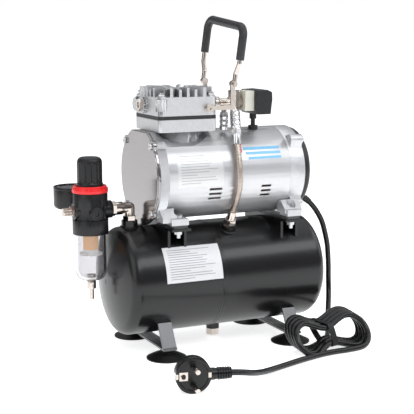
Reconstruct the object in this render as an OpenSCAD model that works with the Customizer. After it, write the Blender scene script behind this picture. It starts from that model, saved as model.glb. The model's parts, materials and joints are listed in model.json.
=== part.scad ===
// Airbrush compressor: a small piston compressor standing on an air tank, with a filter regulator.
// Millimetres, +Z up, floor at zero. +X runs along the tank away from the regulator, -Y is the front.
// Lengths along X are measured from the middle of the tank, then moved so the object is centred.

/* [Tank] */
// outside radius of the tank
tank_r = 60; // [50:0.5:70]
// half length of the straight part of the tank
tank_half = 107; // [90:1:125]
// thickness of the tank sheet
tank_wall = 2; // [1.5:0.1:3]
// height of the tank's axis
tank_z = 79; // [70:1:90]
// where the two drawn halves of the tank meet
seam_x = -11; // [-20:1:0]

/* [Feet] */
// distance of each foot bar from the middle
foot_x = 77; // [60:1:90]
// half the front to back distance of the suction cups
cup_y = 49; // [40:1:50]
// radius of a suction cup on the floor
cup_r = 22; // [15:0.5:25]

/* [Motor] */
// height of the motor's axis
motor_z = 194; // [185:1:205]
// outside radius of the silver motor sleeve
sleeve_r = 49; // [45:0.5:52]
// outside radius of the polished end plate
plate_r = 54; // [50:0.5:58]
// crank throw, half of the piston stroke
throw = 6; // [4:0.5:8]

/* [Cylinder head] */
// side of the square cylinder head
head_w = 68; // [55:1:75]
// middle of the cylinder along the tank
cyl_x = -43.4; // [-50:0.2:-35]
// cylinder bore radius
bore_r = 22; // [18:0.5:24]
// number of cooling fins on the head
fin_count = 24; // [12:1:36]

/* [Handle] */
// height of the handle pivots
pivot_z = 294; // [285:1:305]
// pivot position along the tank
pivot_x = 9; // [0:1:20]
// handle height above its pivots
bail_h = 66; // [50:1:80]
// lean of the handle away from the head, degrees
bail_lean = 8; // [0:1:15]

/* [Regulator] */
// regulator axis along the tank
reg_x = -144.5; // [-150:0.5:-135]
// height of the regulator's air ports
port_z = 160; // [150:1:170]
// outside radius of the regulator body
reg_r = 19.5; // [16:0.5:24]
// radius of the pressure gauge
gauge_r = 21.5; // [18:0.5:26]

/* [Cord] */
// diameter of the mains cord
cord_d = 6.4; // [5:0.1:8]

/* [Hidden] */
$fn = 64;
// drawn tank ends: a tight knuckle round a shallow crown
knuckle = 12;
crown = 150;
crown_x = tank_half - sqrt(pow(crown - knuckle, 2) - pow(tank_r - knuckle, 2));
crown_cut = crown * (tank_r - knuckle) / (crown - knuckle);
nipple_reach = 31.5;
// moves the object so that it is centred between the outlet nipple and the far end of the tank
mid_x = (nipple_reach - reg_x - crown_x - crown) / 2;
half_w = head_w / 2;
deck_z = 243.5;
block_top = 257;
gasket_top = 261;
head_top = 281;
fin_top = 291;
manifold_y = -20;
manifold_z = 273;
strap_screw_x = -20;
hose_x = 8.5;
hose_tilt = 26.7;
gauge_x = reg_x - 4.5;
gauge_y = 44;
gauge_low = 157;
gauge_top = 181;
bowl_top = 135;
plug_pos = [-101, -172, 18.5];
plug_turn = -12;
// the tied hank of cord: upright loops that lean back on each other
hank_pos = [101.5, -88];
hank_turn = 13;
hank_lean = 53;
hank_half = 32;
hank_r = 19.4;
hank_step = 8.2;
hank_slip = -3.2;
steel = "silver";
coal = [0.1, 0.1, 0.11];

// the drop from the fan cover to the hank on the floor
drop_route = [[107, 0, 158], [112, 0, 158], [117, 0, 157.4], [122, 0, 155.6], [127.6, 0, 151.6],
    [132.4, 0, 146.8], [137, 0, 141.5], [141.8, 0, 134.6], [145.9, 0, 127.3], [149, 0, 119.5],
    [151.6, 0, 111], [153.7, 0, 102], [155.3, 0, 92.5], [156.3, 0, 82], [156.9, 0, 71], [157.2, 0, 57.5],
    [156.2, -2.5, 44], [153, -8, 33], [147.5, -16.5, 23.5], [141, -27, 15], [134.5, -38, 9],
    [127.5, -49, 5.2], [120, -60, 3.6], [111.5, -70, 3.3], [101.5, -78.5, 3.3], [90, -85.5, 3.3]];
// the lead from the hank to the plug's sleeve
lead_route = [[112, -117.5, 3.3], [99, -117.5, 3.3], [86, -118.5, 3.3], [73, -121, 3.3],
    [60, -124.5, 3.3], [47, -128.5, 3.4], [34, -133, 3.5], [21, -137.5, 3.5], [8, -142.5, 3.7],
    [-4, -148, 4.4], [-15, -154.5, 6], [-26, -161.5, 8.6], [-37, -168, 12], [-49, -171.8, 15.2],
    [-61.2, -172.3, 17]];
// the metal hose from the manifold to the tank
hose_route = [[10, -44, 228], [9.2, -48.6, 219.5], [8.6, -52.4, 210.5], [8.2, -55, 201], [8, -55.4, 191.5],
    [8, -53.8, 181.5], [8.1, -50, 173], [8.3, -45.8, 165.6], [8.5, -41.6, 159.8], [8.5, -37.74, 154.04]];

module at_x() translate([mid_x, 0, 0]) children();
module rod_x(x0, x1, r, y = 0, z = 0) translate([x0, y, z]) rotate([0, 90, 0]) cylinder(h = x1 - x0, r = r);
module rod_y(y0, y1, r, x = 0, z = 0) translate([x, y1, z]) rotate([90, 0, 0]) cylinder(h = y1 - y0, r = r);
module rod_z(z0, z1, r, x = 0, y = 0) translate([x, y, z0]) cylinder(h = z1 - z0, r = r);
module box(x0, x1, y0, y1, z0, z1) translate([x0, y0, z0]) cube([x1 - x0, y1 - y0, z1 - z0]);
// the same thing on the front and the back
module both_sides() {
    children();
    mirror([0, 1, 0]) children();
}
// four copies at plus and minus x and y
module four(x, y) for (sx = [-1, 1], sy = [-1, 1]) translate([sx * x, sy * y, 0]) children();

// unit vector helpers and a tube swept along a list of points
function unit(v) = v / norm(v);
function tangent(p, i) = unit(p[min(i + 1, len(p) - 1)] - p[max(i - 1, 0)]);
function ring(p, i, r, n) = let (t = tangent(p, i), u = unit(cross(t, [0.15, 1, 0.3])), v = cross(t, u))
    [for (k = [0 : n - 1]) p[i] + r * cos(360 * k / n) * u + r * sin(360 * k / n) * v];
module tube(p, r, n = 12) {
    m = len(p);
    polyhedron([for (i = [0 : m - 1]) each ring(p, i, r, n)],
        concat([[for (k = [0 : n - 1]) k]], [[for (k = [n - 1 : -1 : 0]) (m - 1) * n + k]],
        [for (i = [0 : m - 2]) for (k = [0 : n - 1]) let (a = i * n + k, b = i * n + (k + 1) % n)
            each [[a, a + n, b + n], [a, b + n, b]]]));
}

// ---------- tank ----------
// half profile of a drawn tank end, radius against length
module end_profile(inset) {
    difference() {
        union() {
            square([tank_r - inset, tank_half]);
            translate([tank_r - knuckle, tank_half]) circle(knuckle - inset, $fn = 64);
            intersection() {
                translate([0, crown_x]) circle(crown - inset, $fn = 360);
                square([crown_cut, tank_half + 30]);
            }
        }
        translate([-20, -200]) square([20, 600]);
    }
}
module shell_half() rotate([0, 90, 0]) rotate_extrude($fn = 128) difference() {
    end_profile(0);
    end_profile(tank_wall);
}
module tank_bore(r) translate([hose_x, 0, tank_z]) rotate([hose_tilt, 0, 0])
    cylinder(h = tank_r + 20, r = r);

module tank_shell_left() color(coal) difference() {
    union() {
        translate([0, 0, tank_z]) mirror([1, 0, 0]) difference() {
            shell_half();
            box(-1, -seam_x, -70, 70, -70, 70);
        }
        // the joggled neck that slides into the other half
        difference() {
            union() {
                rod_x(seam_x - 2, seam_x, tank_r, 0, tank_z);
                rod_x(seam_x - 2, seam_x + 6, tank_r - tank_wall - 0.05, 0, tank_z);
            }
            rod_x(seam_x - 3, seam_x + 7, tank_r - 2 * tank_wall, 0, tank_z);
        }
        rod_z(tank_z + tank_r - 3, 146, 9, -99.5);
    }
    rod_z(120, 150, 5, -99.5);
}

module tank_shell_right() color(coal) difference() {
    union() {
        translate([0, 0, tank_z]) shell_half();
        difference() {
            rod_x(seam_x, 1, tank_r, 0, tank_z);
            rod_x(seam_x - 1, 2, tank_r - tank_wall, 0, tank_z);
        }
        // hose boss and drain boss
        translate([hose_x, 0, tank_z]) rotate([hose_tilt, 0, 0]) translate([0, 0, tank_r - 1.8])
            cylinder(h = 7.8, r = 8);
        rod_z(12.5, tank_z - tank_r + 1.5, 7.5, 2);
    }
    tank_bore(4.5);
    rod_z(5, 40, 4.05, 2);
}

module drain_plug() color(steel) {
    translate([2, 0, 5.5]) cylinder(h = 7, r = 8, $fn = 6);
    rod_z(12.5, 24, 3.95, 2);
}

module foot_bars() color(coal) for (s = [-1, 1]) difference() {
    union() {
        // crossbar and the two legs that rise to the tank
        box(s * foot_x - 8, s * foot_x + 8, -60, 60, 10.5, 13);
        both_sides() translate([s * foot_x - 8, 0, 0]) rotate([90, 0, 90])
            linear_extrude(16) polygon([[-60, 10.5], [-57, 10.5], [-40, 40], [-43, 40]]);
    }
    rod_x(s * foot_x - 9, s * foot_x + 9, tank_r + 0.05, 0, tank_z);
    for (m = [-1, 1]) rod_z(5, 20, 2.1, s * foot_x, m * cup_y);
}

module suction_cups() color([0.07, 0.07, 0.07]) four(foot_x, cup_y) rotate_extrude() difference() {
    union() {
        polygon([[0, 1.6], [8, 1.6], [cup_r - 3, 0], [cup_r, 0], [cup_r, 1.2], [14, 5.2], [9, 7],
            [8, 8], [0, 8]]);
        square([7, 10.5]);
    }
    square([2.1, 30]);
}

module cup_screws() color(steel) four(foot_x, cup_y) {
    rod_z(2.4, 19.5, 2);
    rod_z(13, 14, 4.5);
    difference() {
        translate([0, 0, 14]) cylinder(h = 3.2, r = 4, $fn = 6);
        rod_z(13.5, 19, 2);
    }
}

// ---------- motor mounting ----------
module motor_saddles() color(coal) for (x = [-61.5, 77]) difference() {
    union() {
        box(x - 11, x + 11, -56, 56, 139.2, 142);
        box(x - 11, x - 8, -44, 44, 120, 139.2);
        box(x + 8, x + 11, -44, 44, 120, 139.2);
    }
    rod_x(x - 12, x + 12, tank_r + 0.05, 0, tank_z);
    for (m = [-1, 1]) rod_z(130, 150, 2.7, x, m * 47);
}

module motor_pads() color([0.55, 0.55, 0.55]) for (x = [-61.5, 77], m = [-1, 1]) difference() {
    box(x - 8, x + 8, m * 47 - 7, m * 47 + 7, 142, 146);
    rod_z(141, 150, 2.7, x, m * 47);
}

module motor_bolts() color(steel) for (x = [-61.5, 77], m = [-1, 1]) translate([x, m * 47, 0]) {
    rod_z(131, 153, 2.5);
    rod_z(153, 156.5, 4.4);
    difference() {
        translate([0, 0, 135.2]) cylinder(h = 4, r = 4.6, $fn = 6);
        rod_z(134, 140, 2.5);
    }
}

// ---------- motor ----------
module ears(x0, x1, r) for (sy = [-1, 1], sz = [-1, 1]) rod_x(x0, x1, r, sy * 37, motor_z + sz * 36);
// tapered lugs that join the ears to a round casting
module lugs(x0, x1) for (sy = [-1, 1], sz = [-1, 1])
    translate([x0, 0, motor_z]) rotate([atan2(-sy * 37, sz * 36), 0, 0]) rotate([90, 0, 90])
        linear_extrude(x1 - x0) polygon([[-13, 40], [13, 40], [5.8, 53], [-5.8, 53]]);

// one cast foot on each side; x0..x1 is the leg, x2 the far end of its sole
module cast_feet(x0, x1, x2, x3) both_sides() difference() {
    union() {
        translate([x0, 0, 0]) rotate([90, 0, 90]) linear_extrude(x1 - x0)
            polygon([[-53, 149], [-34, 149], [-34, 163], [-43, 163], [-53, 154]]);
        box(x2, x3, -56, -38, 146, 153);
    }
    rod_x(x0 - 50, x3 + 50, sleeve_r + 0.4, 0, motor_z);
    for (x = [-61.5, 77]) {
        rod_z(140, 160, 2.6, x, -47);
        rod_z(153, 170, 5.2, x, -47);
    }
}

module crankcase() color([0.75, 0.75, 0.76]) difference() {
    union() {
        difference() {
            union() {
                rod_x(-84, -74, plate_r, 0, motor_z);
                ears(-84, -74, 6);
                rod_x(-74, -3.5, sleeve_r - 1.6, 0, motor_z);
                rod_z(215, deck_z, 29, cyl_x);
            }
            rod_x(-90, -30, 43, 0, motor_z);
            rod_x(-31, 0, 13.05, 0, motor_z);
            rod_x(-24, 0, 43, 0, motor_z);
            rod_z(motor_z, 260, 25, cyl_x);
            box(-90, -70, -60, 60, deck_z - 0.3, 260);
        }
        cast_feet(-82, -65, -73, -53);
    }
    vents(-16.5, 15);
    for (sy = [-1, 1], sz = [-1, 1]) rod_x(-90, -72, 2.1, sy * 37, motor_z + sz * 36);
}

module end_plate() color([0.8, 0.8, 0.8]) difference() {
    union() {
        rod_x(-87, -84, plate_r, 0, motor_z);
        rod_x(-88, -87, plate_r - 1, 0, motor_z);
        ears(-88, -84, 6);
    }
    box(-95, -80, -60, 60, deck_z - 0.3, 260);
    for (sy = [-1, 1], sz = [-1, 1]) rod_x(-90, -80, 2.1, sy * 37, motor_z + sz * 36);
}

// slotted screws round both ends of the motor
module end_screw() {
    rod_x(-14, 0, 2);
    difference() {
        rod_x(0, 2.4, 3.6);
        box(1.4, 3, -3, 3, -0.4, 0.4);
    }
}
module end_plate_screws() color(steel) for (sy = [-1, 1], sz = [-1, 1])
    translate([0, sy * 37, motor_z + sz * 36]) {
        translate([-88, 0, 0]) mirror([1, 0, 0]) end_screw();
        translate([94, 0, 0]) end_screw();
    }

// three rows of air slots low on each flank
module vents(x, w) both_sides() for (k = [0 : 2])
    translate([x, 0, motor_z]) rotate([105 + 6.7 * k, 0, 0]) box(-w / 2, w / 2, -1.3, 1.3, 40, 60);

module motor_housing() color([0.82, 0.82, 0.84]) difference() {
    rod_x(-74, 76, sleeve_r, 0, motor_z);
    rod_x(-75, 77, sleeve_r - 1.5, 0, motor_z);
    rod_z(motor_z, 260, 35, cyl_x);
    rod_z(motor_z, 260, 4, 47.5, -10);
    vents(-16.5, 15);
    vents(45.5, 12);
}

module stator_core() color([0.4, 0.4, 0.42]) difference() {
    rod_x(-3, 37, sleeve_r - 1.6, 0, motor_z);
    rod_x(-4, 38, 28, 0, motor_z);
}

module stator_windings() color([0.7, 0.4, 0.2]) for (x = [-13, 37]) difference() {
    rod_x(x, x + (x < 0 ? 10 : 8), 42, 0, motor_z);
    rod_x(x - 1, x + 11, 31, 0, motor_z);
}

module rear_bell() color([0.75, 0.75, 0.76]) {
    difference() {
        union() {
            rod_x(76, 94, sleeve_r, 0, motor_z);
            rod_x(70, 76, sleeve_r - 1.6, 0, motor_z);
            ears(79, 94, 6);
            lugs(79, 93.5);
        }
        rod_x(69, 78, 44, 0, motor_z);
        rod_x(84, 95, 44, 0, motor_z);
        rod_x(70, 95, 13.05, 0, motor_z);
        for (a = [0 : 60 : 300]) translate([70, 0, motor_z]) rotate([a, 0, 0]) rod_x(0, 30, 8, 0, 29);
        for (sy = [-1, 1], sz = [-1, 1]) rod_x(77, 95, 2.1, sy * 37, motor_z + sz * 36);
    }
    difference() {
        cast_feet(66, 88, 68, 86);
        rod_x(50, 100, 46, 0, motor_z);
        rod_x(50, 76, sleeve_r + 0.4, 0, motor_z);
        for (m = [-1, 1]) rod_x(77, 95, 2.1, m * 37, motor_z - 36);
    }
}

module fan_cover() color([0.12, 0.12, 0.13]) difference() {
    translate([94, 0, motor_z]) rotate([0, 90, 0]) rotate_extrude($fn = 128) difference() {
        union() {
            square([47, 4]);
            square([41, 10]);
            translate([41, 4]) circle(6);
        }
        translate([0, -4]) square([45, 8]);
        translate([0, -4]) square([50, 4]);
        translate([0, 3]) square([40, 5]);
        translate([-10, -10]) square([10, 40]);
    }
    // air slots in the end face and the hole for the cord
    for (a = [-70 : 20 : 250]) translate([100, 0, motor_z]) rotate([a, 0, 0]) box(0, 6, -1.6, 1.6, 14, 31);
    rod_x(90, 120, 4.6, 0, 158);
}

module motor_bearings() color(steel) for (x = [-30, 78]) difference() {
    rod_x(x, x + 6, 13, 0, motor_z);
    rod_x(x - 1, x + 7, 5.05, 0, motor_z);
}

module rotor() color([0.5, 0.5, 0.52]) {
    rod_x(-33, 98, 5, 0, motor_z);
    rod_x(-1, 35, 27.5, 0, motor_z);
    rod_x(35, 39, 24, 0, motor_z);
    rod_x(-5, -1, 24, 0, motor_z);
}

module crank() color(steel) difference() {
    union() {
        rod_x(-37, -32, 15, 0, motor_z);
        box(-37, -32, -27, 0, motor_z - 14, motor_z + 14);
        rod_x(-49, -37, 5, throw, motor_z);
    }
    rod_x(-33, -31, 5, 0, motor_z);
}

module cooling_fan() color([0.2, 0.2, 0.22]) translate([0, 0, motor_z]) {
    difference() {
        rod_x(87, 97, 11);
        rod_x(86, 98, 5.02);
    }
    for (a = [0 : 45 : 315]) rotate([a, 0, 0]) translate([92, 0, 22.5]) rotate([0, 0, 30])
        cube([10, 1.6, 25], center = true);
}

module piston_rod() color([0.7, 0.7, 0.7]) {
    rod_z(247.5, 249.5, bore_r - 0.4, cyl_x);
    rod_z(245, 248, bore_r - 3.05, cyl_x);
    rod_z(243.5, 245.5, bore_r - 0.4, cyl_x);
    box(cyl_x - 4, cyl_x + 4, -6, 6, 212.5, 244);
    difference() {
        rod_x(cyl_x - 4, cyl_x + 4, 21, 0, motor_z);
        rod_x(cyl_x - 5, cyl_x + 5, 5 + 2 * throw + 0.4, 0, motor_z);
    }
}

module piston_seal() color([0.9, 0.9, 0.85]) difference() {
    rod_z(245.5, 247.5, bore_r - 0.05, cyl_x);
    rod_z(245, 248, bore_r - 3, cyl_x);
}

// ---------- cylinder and head ----------
module rounded_block(z0, z1, r = 4) translate([cyl_x, 0, z0]) linear_extrude(z1 - z0) union() {
    square([head_w - 2 * r, head_w], center = true);
    square([head_w, head_w - 2 * r], center = true);
    four(half_w - r, half_w - r) circle(r, $fn = 32);
}
module bolt_holes(r) translate([cyl_x, 0, 0]) four(28.5, 28.5) rod_z(240, 290, r);

module cylinder_block() color([0.78, 0.78, 0.8]) difference() {
    rounded_block(deck_z, block_top, 3);
    rod_z(deck_z - 1, 260, 25, cyl_x);
    bolt_holes(2.1);
}

module cylinder_sleeve() color([0.5, 0.5, 0.52]) difference() {
    rod_z(222, block_top, 24.95, cyl_x);
    rod_z(221, 260, bore_r, cyl_x);
}

// plate with the two air ports, each under its spring steel reed
module valve_plate() color([0.15, 0.15, 0.16]) {
    difference() {
        rounded_block(block_top, block_top + 2, 3);
        bolt_holes(2.1);
        for (m = [-1, 1]) rod_z(250, 262, 3, cyl_x, m * 11);
    }
    for (m = [-1, 1]) box(cyl_x - 5, cyl_x + 14, m * 11 - 4.5, m * 11 + 4.5, block_top + 2, block_top + 2.4);
}

module head_gasket() color([0.05, 0.05, 0.05]) difference() {
    rounded_block(block_top + 2, gasket_top, 3);
    bolt_holes(2.1);
    for (m = [-1, 1]) box(cyl_x - 20, cyl_x + 20, m * 13 - 10, m * 13 + 10, 250, 270);
}

module cylinder_head() color([0.72, 0.72, 0.73]) difference() {
    union() {
        rounded_block(gasket_top, head_top, 4);
        // corner bosses that stand out a little on the side faces
        translate([cyl_x, 0, 0]) {
            four(28.5, 28.5) rod_z(266, head_top + 1, 5.4);
            for (m = [-1, 1]) rod_z(266, 279, 6.5, -29, m * 29);
        }
        // intake boss on the near side and outlet boss on the far side
        rod_x(cyl_x - half_w - 3.4, cyl_x, 9, 8, 271);
        rod_x(cyl_x - half_w - 3.4, cyl_x, 7.5, 27, 271);
        rod_x(cyl_x, cyl_x + half_w + 2, 8, manifold_y, manifold_z);
        // radial fins
        intersection() {
            translate([cyl_x, 0, 0]) union() {
                for (a = [0 : 360 / fin_count : 359]) rotate(a) box(9, 46, -1.5, 1.5, head_top, fin_top - 2);
                for (a = [0 : 720 / fin_count : 359]) rotate(a) box(17, 40, -1.5, 1.5, head_top, fin_top);
                rod_z(head_top, fin_top - 3, 12);
            }
            rounded_block(head_top, fin_top, 12);
        }
    }
    // inlet and outlet chambers
    for (m = [-1, 1]) box(cyl_x - 19, cyl_x + 19, m * 13 - 9, m * 13 + 9, 260, 276);
    rod_x(cyl_x - half_w - 5, cyl_x - 15, 5, 8, 271);
    rod_x(cyl_x + 15, cyl_x + half_w + 5, 4, manifold_y, manifold_z);
    bolt_holes(2.1);
    translate([cyl_x, 0, 0]) four(28.5, 28.5) rod_z(head_top + 1, 295, 5.4);
    both_sides() rod_y(-40, -26, 2, strap_screw_x, 268.5);
}

module head_bolts() color(steel) translate([cyl_x, 0, 0]) four(28.5, 28.5) {
    rod_z(244, head_top + 1, 2);
    difference() {
        rod_z(head_top + 1, head_top + 5, 3.8);
        translate([0, 0, head_top + 3]) cylinder(h = 3, r = 1.9, $fn = 6);
    }
}

module intake_plug() color([0.7, 0.65, 0.6]) {
    rod_x(cyl_x - half_w - 3.4, cyl_x - half_w + 6, 4.95, 8, 271);
    difference() {
        translate([cyl_x - half_w - 7.4, 8, 271]) rotate([0, 90, 0]) cylinder(h = 4, r = 6.5, $fn = 6);
        rod_x(cyl_x - half_w - 8, cyl_x - half_w - 6, 3.5, 8, 271);
    }
}

// ---------- manifold, hose and pressure switch ----------
module manifold() color([0.8, 0.78, 0.76]) {
    difference() {
        union() {
            rod_x(-16, -7, 3.95, manifold_y, manifold_z);
            rod_x(-7.4, -1, 6.6, manifold_y, manifold_z);
            rod_x(-1, 12, 4.6, manifold_y, manifold_z);
            rod_x(12, 27, 6.4, manifold_y, manifold_z);
            rod_z(266, 286, 7, 19, manifold_y);
            // branch towards the hose, along the hose coupling
            along_branch() rod_z(-3, 5, 5);
        }
        rod_x(-17, 26, 2.4, manifold_y, manifold_z);
    }
    // relief valve hanging from the pipe
    difference() {
        union() {
            rod_z(262, manifold_z - 2, 3, 6, manifold_y);
            rod_z(243, 262, 4.4, 6, manifold_y);
            for (z = [244.5, 250, 255.5]) rod_z(z, z + 3.5, 5, 6, manifold_y);
        }
        rod_z(242, 248, 2, 6, manifold_y);
    }
}

// everything along the line from the manifold branch to the hose
module along_branch() translate([18, -22, 268]) rotate([0, 149.7, 250]) children();
module hose_fittings() color([0.8, 0.8, 0.8]) {
    along_branch() {
        rod_z(5, 29, 5.2);
        for (k = [0 : 3]) rod_z(7 + 5.5 * k, 10.5 + 5.5 * k, 5.8);
        translate([0, 0, 29]) cylinder(h = 6, r = 6, $fn = 6);
        rod_z(35, 46.4, 4.7);
    }
    translate([hose_x, 0, tank_z]) rotate([hose_tilt, 0, 0]) {
        rod_z(tank_r - 1, tank_r + 6, 4.45);
        translate([0, 0, tank_r + 6]) cylinder(h = 7, r = 6.8, $fn = 6);
        rod_z(tank_r + 13, tank_r + 24, 4.7);
    }
}

module air_hose() color([0.7, 0.68, 0.65]) tube(hose_route, 3.7, 16);

module switch_block() color([0.8, 0.79, 0.72]) difference() {
    box(27, 38, -31, -9, 263.5, 285.5);
    rod_x(26, 32, 2.4, manifold_y, manifold_z);
}

module switch_cover() color([0.13, 0.13, 0.14]) difference() {
    translate([0, 1, 0]) rotate([90, 0, 0]) linear_extrude(38)
        polygon([[38, 261], [38, 286], [52, 286.5], [57.5, 284], [58, 276], [56, 259.5], [40, 259.5]]);
    box(40, 54.5, -35, -1, 262, 284);
    rod_x(50, 60, 3.1, -18, 276);
    rod_z(255, 263, 2.6, 47.5, -10);
}

module switch_button() color([0.1, 0.1, 0.1]) {
    rod_x(49.5, 61.5, 3, -18, 276);
    rod_x(49, 50, 5, -18, 276);
}

module switch_cable() color([0.08, 0.08, 0.08]) {
    rod_z(253, 259.5, 4, 47.5, -10);
    rod_z(236, 264, 2.5, 47.5, -10);
    rod_z(238, 244, 3.9, 47.5, -10);
    difference() {
        rod_z(239, 245.5, 5.5, 47.5, -10);
        rod_x(20, 70, sleeve_r + 0.05, 0, motor_z);
    }
}

// ---------- handle ----------
module strap_outline() difference() {
    union() {
        translate([strap_screw_x, 268.5]) circle(4.5);
        translate([strap_screw_x, 266]) square([pivot_x + 2.5 - strap_screw_x, 5]);
        translate([pivot_x - 2.5, 266]) square([5, pivot_z - 266]);
        translate([pivot_x, pivot_z]) circle(3.8);
    }
    translate([pivot_x, pivot_z]) circle(2);
    translate([strap_screw_x, 268.5]) circle(2.1);
}
module handle_straps() color([0.7, 0.68, 0.66]) both_sides() {
    translate([0, -half_w, 0]) rotate([90, 0, 0]) linear_extrude(2.5) strap_outline();
    // rivet through the strap and the handle's eye
    rod_y(-40.4, -half_w, 1.99, pivot_x, pivot_z);
    rod_y(-42, -40.4, 2.6, pivot_x, pivot_z);
    rod_y(-42.8, -42, 2, pivot_x, pivot_z);
    // cap screw that holds the strap to the head
    rod_y(-half_w - 2.5, -half_w + 7, 1.95, strap_screw_x, 268.5);
    difference() {
        rod_y(-half_w - 5.6, -half_w - 2.5, 3.6, strap_screw_x, 268.5);
        translate([strap_screw_x, -half_w - 4, 268.5]) rotate([90, 0, 0]) cylinder(h = 3, r = 1.7, $fn = 6);
    }
}

// frame of the handle: origin at the pivot line, leaning away from the head
module handle_frame() translate([pivot_x, 0, pivot_z]) rotate([0, bail_lean, 0]) children();
corner_r = 11;
leg_y = 45.5;
// the hand-bent top bar rises a little towards the back
bar_rise = 3.7;
bar_half = leg_y - corner_r;
// legs from low upwards, two quarter bends and the top bar, for a given rod radius
module bail_top(r, low, lift = 0) {
    for (s = [-1, 1]) mirror([0, max(0, s), 0]) {
        rod_z(low + max(0, s) * lift, bail_h + s * bar_rise - corner_r, r, 0, -leg_y);
        translate([0, -bar_half, bail_h + s * bar_rise - corner_r])
            multmatrix([[0, 0, -1, 0], [-1, 0, 0, 0], [0, 1, 0, 0]])
            rotate_extrude(angle = 90) translate([corner_r, 0]) circle(r, $fn = 32);
        translate([0, -bar_half, bail_h + s * bar_rise]) sphere(r + 0.1, $fn = 32);
    }
    translate([0, -bar_half, bail_h - bar_rise]) rotate([atan(bar_rise / bar_half) - 90, 0, 0])
        cylinder(h = 2 * norm([bar_half, bar_rise]), r = r);
}
module handle_bail() color([0.72, 0.7, 0.68]) handle_frame() {
    bail_top(2.7, 22);
    both_sides() {
        translate([0, -leg_y, 22]) sphere(2.7, $fn = 32);
        translate([0, -39.6, 11]) sphere(2.7, $fn = 32);
        translate([0, -39.6, 11]) rotate([atan(5.9 / 11), 0, 0]) cylinder(h = norm([5.9, 11]), r = 2.7);
        rod_z(3, 11, 2.7, 0, -39.6);
        difference() {
            rod_y(-40.1, -37.1, 3.8);
            rod_y(-41, -36, 2.05);
        }
    }
}
module handle_grip() color([0.06, 0.06, 0.06]) handle_frame() difference() {
    bail_top(4.6, 26, 6.5);
    bail_top(2.72, 20);
}

// ---------- filter regulator ----------
module inlet_elbow() color([0.75, 0.72, 0.68]) {
    rod_z(136, 147, 4.9, -99.5);
    translate([-99.5, 0, 146]) cylinder(h = 5, r = 7.5, $fn = 6);
    rod_z(151, port_z, 6, -99.5);
    translate([-99.5, 0, port_z]) sphere(6);
    rod_x(reg_x + 30, -99.5, 6, 0, port_z);
    translate([reg_x + 23.5, 0, port_z]) rotate([0, 90, 0]) cylinder(h = 4.5, r = 8.2, $fn = 6);
    rod_x(reg_x + 28, reg_x + 36.5, 7.2, 0, port_z);
    rod_x(reg_x + 16.5, reg_x + 23.5, 4.9, 0, port_z);
}

module regulator_body() color([0.09, 0.09, 0.1]) translate([reg_x, 0, 0]) difference() {
    union() {
        rod_z(163, 180, reg_r - 0.6);
        rod_z(151, 163, reg_r - 2.5);
        rod_z(bowl_top, 151, reg_r);
        rod_x(0, 23.5, 9.6, 0, port_z);
        rod_x(-19, 0, 9, 0, port_z);
        rod_y(-20.6, 0, 7, 0, port_z - 1);
        rod_y(0, 22, 6, 0, 165);
        rod_z(180, 190, 11);
    }
    // spring bore, bowl socket and the ports
    rod_z(168, 191, 8.6);
    rod_z(bowl_top - 1, 144, 16.1);
    rod_z(140, 170, 2.5);
    rod_x(15, 24, 4.95, 0, port_z);
    rod_x(-22, -12, 4.95, 0, port_z);
    rod_y(-21, -12, 2.6, 0, port_z - 1);
    rod_y(14, 23, 3.05, 0, 165);
}

module regulator_ring() color([0.85, 0.1, 0.1]) translate([reg_x, 0, 180]) rotate_extrude() difference() {
    union() {
        square([reg_r, 5]);
        square([reg_r - 1.5, 7.5]);
    }
    translate([0, -1]) square([15.3, 12]);
}

module regulator_knob() color([0.08, 0.08, 0.09]) translate([reg_x, 0, 0]) difference() {
    union() {
        rod_z(190.3, 216, 14);
        rod_z(216, 218, 12.5);
        rod_z(185.5, 190.3, 14.2);
    }
    rod_z(185, 190.3, 11.4);
    rod_z(188, 192, 11.4);
    // finger flutes
    for (a = [0 : 20 : 340]) rotate(a) rod_z(190, 220, 1.1, 14.6);
}

module spring_seat() color(steel) translate([reg_x, 0, 0]) {
    rod_z(176, 180, 8.3);
    rod_z(180, 186, 3);
}

module regulator_nipple() color([0.75, 0.7, 0.6]) translate([reg_x, 0, port_z]) difference() {
    union() {
        rod_x(-19, -12.5, 4.9);
        translate([-22.5, 0, 0]) rotate([0, 90, 0]) cylinder(h = 3.5, r = 7, $fn = 6);
        rod_x(-nipple_reach, -22.5, 4.86);
    }
    rod_x(-33, -12, 2.6);
}

module gauge_case() color([0.08, 0.08, 0.08]) {
    translate([gauge_x, gauge_y, 0]) difference() {
        union() {
            rod_z(gauge_low + 3, gauge_top, gauge_r);
            rod_z(gauge_low, gauge_low + 3, gauge_r - 3);
            rod_z(gauge_low + 1.2, gauge_low + 3, gauge_r - 1);
        }
        rod_z(gauge_low + 14, gauge_top + 1, gauge_r - 1.8);
    }
    // stem into the back port of the regulator
    rod_y(15, gauge_y - gauge_r + 1, 3, reg_x, 165);
}

module gauge_dial() color([0.95, 0.95, 0.94]) translate([gauge_x, gauge_y, 0]) difference() {
    rod_z(gauge_low + 14, gauge_low + 15.5, gauge_r - 1.85);
    rod_z(gauge_low + 13, gauge_low + 17, 1.1);
}

module gauge_needle() color([0.1, 0.1, 0.1]) translate([gauge_x, gauge_y, gauge_low + 17]) {
    rod_z(0, 1.2, 2.4);
    rod_z(-2.8, 0, 1.05);
    rotate(-135) box(-5, 15, -0.6, 0.6, 0.2, 0.9);
}

module gauge_lens() color([0.8, 0.9, 1, 0.3]) translate([gauge_x, gauge_y, 0])
    rod_z(gauge_top - 2.6, gauge_top - 1, gauge_r - 1.85);

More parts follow.
